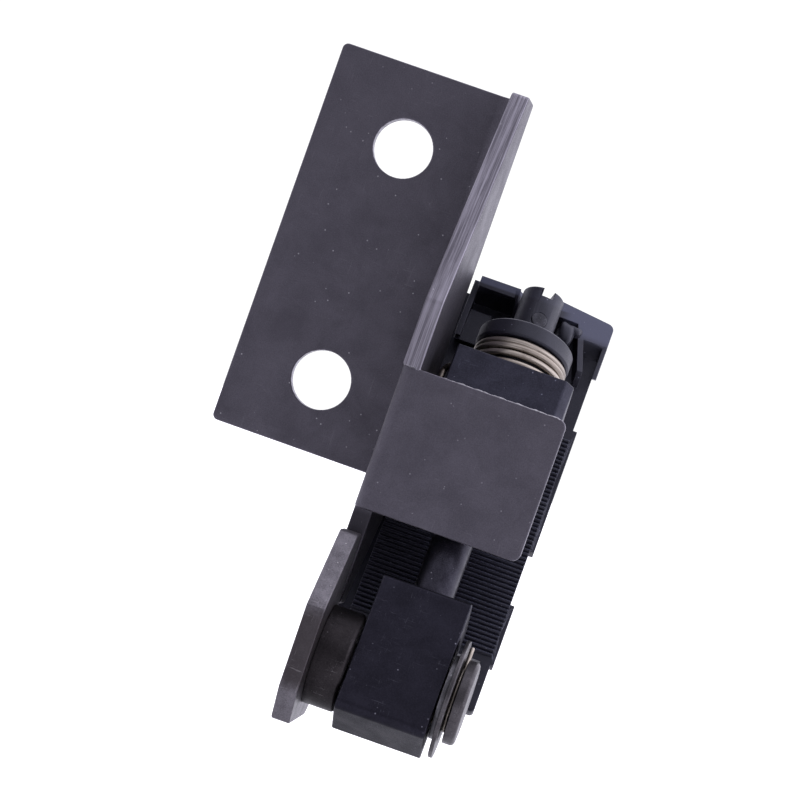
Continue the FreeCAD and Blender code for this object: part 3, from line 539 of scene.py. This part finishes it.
def nylon_finish(name, rough, whitening, painted_sheen, shine):
    """Black nylon, a little blue: grained and whitened on its edges, with a painted sheen, lighter and bluer
    by the share painted_sheen, where faces look up, over the head's right wing and on the hood's lip."""
    material, tree, shader = new_material(name)
    tone, grain_height = use(tree, mottle, Clouds=320.0, Grit=6500.0, Grit_share=0.6)
    colour = blend_colour(tree, tone, (0.0055, 0.0050, 0.0085), (0.0145, 0.0140, 0.0215))
    facing = add(tree, "ShaderNodeSeparateXYZ", {0: add(tree, "ShaderNodeNewGeometry").outputs["Normal"]})
    place = object_place(tree)
    # Painted sheen: faces that look up, the head's right wing and the hood's lip get a lighter, bluer colour
    # for the light they catch.
    upward_faces = between(tree, facing.outputs["Z"], 0.55, 0.85)
    on_wing = maths(tree, "MULTIPLY", between(tree, place["X"], wing_edge, wing_edge + 2.0 * mm),
                    between(tree, place["Z"], wing_foot - 0.8 * mm, wing_foot + 0.8 * mm))
    on_lip = between(tree, place["Z"], hood_lip - 0.2 * mm, hood_lip + 0.2 * mm)
    bloom = maths(tree, "MAXIMUM", maths(tree, "MAXIMUM", upward_faces, on_wing), on_lip)
    bloom = maths(tree, "MULTIPLY", bloom, painted_sheen)
    colour = blend_colour(tree, bloom, colour, (0.052, 0.055, 0.086))
    whitened = use(tree, rubbed, Reach=0.00012, Strength=whitening)[0]
    dust = use(tree, specks, Scale=2600.0, Share=0.03)[0]
    colour = blend_colour(tree, maths(tree, "MAXIMUM", whitened, dust), colour, (0.16, 0.16, 0.21))
    tree.links.new(colour, shader.inputs["Base Color"])
    tree.links.new(between(tree, tone, 0.0, 1.0, rough + 0.07, rough - 0.07), shader.inputs["Roughness"])
    relief = add(tree, "ShaderNodeBump", {"Height": grain_height, "Strength": 0.7, "Distance": 0.03 * mm})
    tree.links.new(relief.outputs[0], shader.inputs["Normal"])
    shader.inputs["Specular IOR Level"].default_value = shine
    shader.inputs["Specular Tint"].default_value = (0.86, 0.88, 1.0, 1)
    return material


# painted_sheen sets how much of that painted sheen each nylon gets; the spool's is small.
nylon = nylon_finish("black_nylon", rough=0.37, whitening=0.45, painted_sheen=1.0, shine=0.36)
spool_nylon = nylon_finish("spool_nylon", rough=0.45, whitening=0.35, painted_sheen=0.15, shine=0.5)

# The head's right wing is turned backwards: its points go back by a share of their reach past the neck,
# less and less towards the strip.
lean = math.radians(25.0)
spindle_axis = np.array(spindle_joint["axis"])
rearward = np.array([0.0, math.cos(lean), -math.sin(lean)])
rightward = np.array([1.0, 0.0, 0.0])


def in_row(points):
    """From the mechanism's frame (across, rearward, along the spindle) to the row's."""
    return crossing + points @ np.stack([rightward, rearward, spindle_axis])


def in_mechanism(points):
    """From the row's frame back to the mechanism's."""
    return (points - crossing) @ np.stack([rightward, rearward, spindle_axis], axis=1)


guard_mesh = merged_mesh("ribbed_guard", "nylon_guard")
places = np.empty(len(guard_mesh.vertices) * 3)
guard_mesh.vertices.foreach_get("co", places)
places = places.reshape(-1, 3)
local = in_mechanism(places)
wing_left, head_bottom = 1.9 * mm, 15.6 * mm
head_front, strip_front = 3.0 * mm, 8.95 * mm
wing_turn = 0.46
tongue_length, comb_drop = 8.6 * mm, 0.9 * mm
slit_left, slit_right, slit_foot = -4.8 * mm, -2.6 * mm, 21.0 * mm
past_neck = np.clip(local[:, 0] - wing_left, 0, None) * (local[:, 2] > head_bottom)
ahead = np.clip((strip_front - local[:, 1]) / (strip_front - head_front), 0, 1)
places[:, 1] += wing_turn * past_neck * ahead
# The comb's lower edge comes down a little behind the pin.
comb_foot = local[:, 2].min() + tongue_length
at_foot = np.abs(local[:, 2] - comb_foot) < 0.06 * mm
places -= at_foot[:, None] * comb_drop * spindle_axis
guard_mesh.vertices.foreach_set("co", places.ravel())


def beside_slit(middle):
    """True round the narrow slit between the hood's lip and the rib beside the neck."""
    across, _, up = in_mechanism(np.array(middle))
    return slit_left < across < slit_right and up > slit_foot


softened("ribbed_guard", "nylon_guard", "bracket", nylon, 0.07 * mm, mesh=guard_mesh,
         stays_sharp=beside_slit)


def signed_power(value, power):
    """The value's size to a power, with its sign kept."""
    return np.sign(value) * np.abs(value) ** power


def rounded_lump(middle, halves, power, name):
    """Closed lump with softly squared sides: the unit sphere's cosines and sines raised to a power, times
    one and two small waves, then stretched by its half sizes."""
    rings, sides = 26, 40
    up, way_round = np.meshgrid(np.linspace(-math.pi / 2, math.pi / 2, rings),
                                np.linspace(0, 2 * math.pi, sides, endpoint=False), indexing="ij")
    level = signed_power(np.cos(up), power)
    shape = np.stack([level * signed_power(np.cos(way_round), power),
                      level * signed_power(np.sin(way_round), power),
                      signed_power(np.sin(up), power)], axis=2)
    waves = 0.10 * np.sin(3 * way_round + 2 * up) * np.cos(up)
    waves -= 0.16 * np.cos(2 * up) * np.cos(way_round - 0.6) ** 2
    shape *= 1 + waves[..., None]
    points = np.array(middle) + shape.reshape(-1, 3) * np.array(halves)
    mesh = bpy.data.meshes.new(name)
    mesh.from_pydata(in_row(points).tolist(), [], ring_faces(rings, sides).tolist())
    form = bmesh.new()
    form.from_mesh(mesh)
    bmesh.ops.remove_doubles(form, verts=form.verts, dist=1e-6)
    bmesh.ops.recalc_face_normals(form, faces=form.faces)
    form.to_mesh(mesh)
    form.free()
    shade_smooth(mesh)
    mesh.materials.append(spool_nylon)
    piece = put(name, mesh)
    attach(piece, "bracket")


# Moulded catch under the right wing, with a smaller tooth beside it.
rounded_lump((4.7 * mm, 4.3 * mm, 21.3 * mm), (1.5 * mm, 1.1 * mm, 1.7 * mm), 0.7, "head_catch")
rounded_lump((5.9 * mm, 4.6 * mm, 22.4 * mm), (1.3 * mm, 0.9 * mm, 0.7 * mm), 0.8, "head_tooth")

# ---------------------------------------------------------------- spool
# Notched disc and slotted neck of a duller nylon, pinned to the spindle; the spring's upper end stands in
# the disc's notch.
softened("spring_spool", "nylon_spool", "spindle", spool_nylon, 0.09 * mm)

# ---------------------------------------------------------------- screws and small washers
# Dull zinc: the guard's two screws, the washer under the block, the set screw of the knuckle and the thick
# washer on its right.
zinc = steel_finish("dull_zinc", dark=(0.055, 0.054, 0.060), light=(0.12, 0.118, 0.128),
                    bare=(0.60, 0.60, 0.62), roughness=0.36, metallic=1.0, clouds=600.0, speck_share=0.06,
                    edge_strength=0.7, scratch_share=0.4, scratch_scale=500.0)
for node, body in (("guard_screws", "bracket"), ("spindle_washer", "spindle"),
                   ("knuckle_set_screw", "spindle"), ("side_washer", "lever")):
    softened(node, node + "_zinc", body, zinc, 0.08 * mm)

# ---------------------------------------------------------------- torsion spring
# Three and a half open turns of bright 1 mm wire on the block, closing up towards the spool.  One end
# goes down beside the block as a leg, the other stands up in the notch of the spool's disc.
wire_radius = 0.5 * mm
coil_radius = 6.6 * mm
coil_bottom = 8.4 * mm
coil_rise = 3.85 * mm
coil_turns = 3.5
coil_tighten = 1.5                                      # 1 is an even pitch; more closes the upper turns
rest_turn = math.radians(-1.5)
arm_turn = math.radians(50.0)                           # how far short of the front the arm leaves the coils
leg_across = -10.25 * mm
leg_length = 4.8 * mm
elbow = 0.9 * mm
tang_length = 1.6 * mm


def arc_between(start, corner, end, steps):
    """Quarter turn from start to end round a square corner: start and end each swept in by one less the sine
    and one less the cosine of the angle."""
    angle = np.linspace(0.0, math.pi / 2, steps)[:, None]
    return corner + (start - corner) * (1 - np.sin(angle)) + (end - corner) * (1 - np.cos(angle))


def wire_line():
    """Middle line of the wire in the mechanism's frame.  Over the coils a point stands off the axis by the
    radius times the cosine and sine of its angle, and up by the rise times one less (1 - share) to the
    power of the tightening, where share is how far along the turns it is."""
    whole = 2 * math.pi * coil_turns + arm_turn
    angle = np.linspace(0.0, whole - math.asin(elbow / coil_radius), 440)
    height = coil_bottom + coil_rise * (1 - (1 - angle / whole) ** coil_tighten)
    angle = angle + rest_turn - math.pi / 2 - arm_turn
    coils = np.stack([coil_radius * np.cos(angle), coil_radius * np.sin(angle), height], axis=1)
    up = np.array([0.0, 0.0, 1.0])
    level = np.array([1.0, 1.0, 0.0])
    arriving = (coils[1] - coils[0]) * level
    arriving /= np.linalg.norm(arriving)
    leaving = (coils[-1] - coils[-2]) * level
    leaving /= np.linalg.norm(leaving)
    arm_corner = coils[0] - arriving * (coils[0, 0] - leg_across) / arriving[0]
    leg = arm_corner - up * np.linspace(leg_length, elbow, 14)[:-1, None]
    first = arc_between(arm_corner - up * elbow, arm_corner, arm_corner + arriving * elbow, 12)
    arm = np.linspace(first[-1], coils[0], 16)[1:-1]
    tang_corner = coils[-1] + leaving * elbow
    second = arc_between(coils[-1], tang_corner, tang_corner + up * elbow, 12)[1:]
    tang = tang_corner + up * np.linspace(elbow, tang_length, 5)[1:, None]
    return np.concatenate([leg, first, arm, coils, second, tang])


def domed_ends(line, radius):
    """The line with five points added before each end, and a radius for each point, so that its tube ends in
    a quarter-round edge: there the radius grows as a sine while the point goes in by one less the cosine."""
    angle = np.linspace(0.0, math.pi / 2, 6)[:-1]
    inward = radius * 0.5 * (1 - np.cos(angle))[:, None]
    first = line[1] - line[0]
    last = line[-2] - line[-1]
    first = line[0] + first / np.linalg.norm(first) * (inward - radius * 0.5)
    last = (line[-1] + last / np.linalg.norm(last) * (inward - radius * 0.5))[::-1]
    grow = radius * (0.5 + 0.5 * np.sin(angle))
    return np.concatenate([first, line, last]), np.concatenate([grow, np.full(len(line), radius), grow[::-1]])


wire, wire_widths = domed_ends(wire_line(), wire_radius)
wire_outward = in_row(wire * np.array([1.0, 1.0, 0.0])) - crossing
wire_mesh = tube(in_row(wire), wire_outward, wire_widths, 20, "wound_spring")
bright_wire, tree, shader = new_material("bright_wire")
on_tube = add(tree, "ShaderNodeUVMap", uv_map="along_tube").outputs[0]
on_tube = add(tree, "ShaderNodeSeparateXYZ", {0: on_tube}).outputs
way_round = maths(tree, "MULTIPLY", on_tube["Y"], 2 * math.pi)
drawn = add(tree, "ShaderNodeCombineXYZ", {0: maths(tree, "MULTIPLY", on_tube["X"], 110.0),
                                           1: maths(tree, "COSINE", way_round),
                                           2: maths(tree, "SINE", way_round)}).outputs[0]
streaks = noise(tree, drawn, 2.0, scale=1.6)
tone = use(tree, mottle, Clouds=700.0, Grit=6000.0, Grit_share=0.4)[0]
colour = blend_colour(tree, between(tree, streaks, 0.36, 0.62), (0.27, 0.235, 0.200), (0.40, 0.360, 0.312))
stain = maths(tree, "MULTIPLY", between(tree, tone, 0.62, 0.9), 0.3)
colour = blend_colour(tree, stain, colour, (0.09, 0.065, 0.05))
tree.links.new(colour, shader.inputs["Base Color"])
tree.links.new(between(tree, streaks, 0.3, 0.7, 0.44, 0.34), shader.inputs["Roughness"])
relief = add(tree, "ShaderNodeBump", {"Height": streaks, "Strength": 0.2, "Distance": 0.01 * mm})
tree.links.new(relief.outputs[0], shader.inputs["Normal"])
shader.inputs["Metallic"].default_value = 1.0
wire_mesh.materials.append(bright_wire)
spring = put("wound_spring", wire_mesh)
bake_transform(spring)
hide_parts("torsion_spring")

# ---------------------------------------------------------------- spindle
# Ground steel spindle through block and knuckle, with a black cross pin through the spool's neck and a
# spring clip under the lower washer.
oily_ground = steel_finish("oily_ground_steel", dark=(0.013, 0.012, 0.018), light=(0.037, 0.036, 0.047),
                           bare=(0.20, 0.20, 0.23), roughness=0.34, metallic=0.9, clouds=500.0,
                           edge_strength=0.5, scratch_share=0.4, scratch_scale=700.0)
softened("spindle", "ground_spindle", "spindle", oily_ground, 0.12 * mm)
softened("spindle_clip", "spindle_circlip", "spindle", zinc, 0.06 * mm)
pin_black = steel_finish("black_pin", dark=(0.02, 0.02, 0.024), light=(0.05, 0.05, 0.06),
                         bare=(0.30, 0.30, 0.33), roughness=0.36, clouds=900.0, speck_share=0.08,
                         scratch_scale=800.0)
softened("spool_cross_pin", "black_cross_pin", "spindle", pin_black, 0.15 * mm)

# ---------------------------------------------------------------- knuckle
# Milled black steel block on the spindle's lower end, held there by its set screw.  The lever pin runs
# through it in bronze bushes.
oily_black = steel_finish("oily_black_oxide", dark=(0.008, 0.0075, 0.013), light=(0.020, 0.019, 0.029),
                          bare=(0.24, 0.24, 0.29), roughness=0.44, clouds=230.0, speck_share=0.03,
                          speck_scale=2400.0, edge_reach=0.00026, edge_strength=0.9, scratch_share=0.12)
softened("knuckle", "black_knuckle", "spindle", oily_black, 0.22 * mm)

# ---------------------------------------------------------------- lever
# Sheared steel plate, riveted with its boss to the left end of the pin; its edges are scraped bright, and
# a brownish oil stain lies over its middle.
pin_level = float(lever_joint["pos_m"][2])
stain_top, stain_foot, stain_fade = pin_level + 8.0 * mm, pin_level - 3.5 * mm, 1.5 * mm


def stained_middle(tree, colour, rough):
    """Lays the oil stain, with a ragged edge, over the lever's straight middle stretch, and lines drawn
    along its sheared front."""
    ragged = noise(tree, scaled_place(tree, 700.0), 5.0)
    height = maths(tree, "MULTIPLY_ADD", ragged, 3 * mm, object_place(tree)["Z"])
    stain = maths(tree, "MULTIPLY", between(tree, height, stain_top + stain_fade, stain_top - stain_fade),
                  between(tree, height, stain_foot - stain_fade, stain_foot + stain_fade))
    colour = blend_colour(tree, maths(tree, "MULTIPLY", stain, 0.85), colour, (0.040, 0.034, 0.036))
    lines = noise(tree, scaled_place(tree, 1500.0, (1.0, 0.3, 0.05)), 4.0, 0.7)
    return colour, rough, maths(tree, "MULTIPLY", lines, 0.8)


lever_grey = steel_finish("worn_lever_steel", dark=(0.082, 0.077, 0.087), light=(0.172, 0.163, 0.180),
                          bare=(0.50, 0.48, 0.49), roughness=0.42, metallic=0.9, clouds=420.0,
                          speck_share=0.03, scratch_share=0.25, extra=stained_middle)
softened("swing_lever", "sheared_lever", "lever", lever_grey, 0.2 * mm)
boss_brown = steel_finish("boss_steel", dark=(0.014, 0.012, 0.0135), light=(0.034, 0.030, 0.032),
                          bare=(0.25, 0.24, 0.25), roughness=0.42, metallic=0.9, clouds=380.0,
                          edge_strength=0.7, scratch_share=0.4, scratch_scale=500.0)
softened("lever_boss", "turned_boss", "lever", boss_brown, 0.15 * mm)

# ---------------------------------------------------------------- lever pin and what holds it
# Pin with a round head on the right, a wide thin washer of the same dull steel, and between washer and
# head a ring of spring wire with one tail.
softened("lever_pin", "headed_pin", "lever", dull_turned, 0.12 * mm)
softened("wide_washer", "wide_washer_dark", "lever", dull_turned, 0.1 * mm)
clip_wire = steel_finish("drawn_clip_wire", dark=(0.24, 0.21, 0.18), light=(0.40, 0.36, 0.31),
                         bare=(0.55, 0.52, 0.48), roughness=0.38, metallic=1.0, clouds=900.0,
                         edge_strength=0.3, scratch_scale=900.0)
softened("pin_clip", "wire_clip", "lever", clip_wire, 0.04 * mm)
